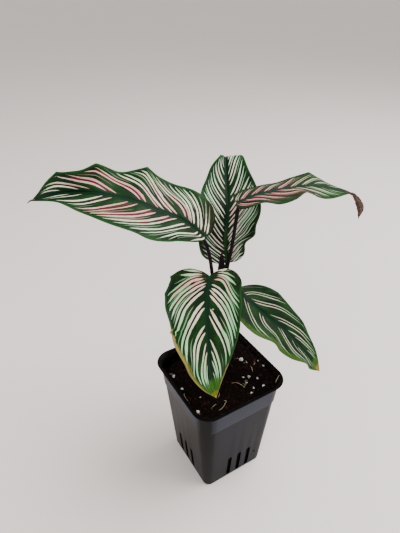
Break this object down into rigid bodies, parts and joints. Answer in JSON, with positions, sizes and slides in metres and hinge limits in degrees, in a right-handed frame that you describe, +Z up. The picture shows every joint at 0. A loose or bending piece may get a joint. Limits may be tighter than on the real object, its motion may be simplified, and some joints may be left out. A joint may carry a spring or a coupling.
{
  "type": "potted houseplant",
  "caption": "Small potted houseplant: striped oval leaves on dark stalks rise from a bundled shoot in a square tapered nursery pot filled with potting mix.",
  "frame": {"origin": "centre of the pot's underside, where it stands", "axes": "+Z up; X and Y along the pot's sides; the picture looks from the corner at -X -Y, turned 31 degrees from +Y towards +X"},
  "size_m": [0.171, 0.0889, 0.2129],
  "materials": {
    "pot_plastic": "satin black moulded plastic",
    "potting_mix": "moist dark brown potting mix of peat and bark with white perlite",
    "shoot": "smooth purple-brown leaf sheaths",
    "stalk": "smooth purple-black leaf stalks",
    "leaf": "satin dark green leaf with pale and pink stripes, purple underneath"
  },
  "bodies": {
    "root": {"pot": "pot_plastic", "potting_mix": "potting_mix", "shoot": "shoot", "stalk_left": "stalk", "leaf_left": "leaf", "stalk_back": "stalk", "leaf_back": "leaf", "stalk_right": "stalk", "leaf_right": "leaf", "stalk_front": "stalk", "leaf_front": "leaf", "stalk_lower_right": "stalk", "leaf_lower_right": "leaf"}
  },
  "joints": []
}
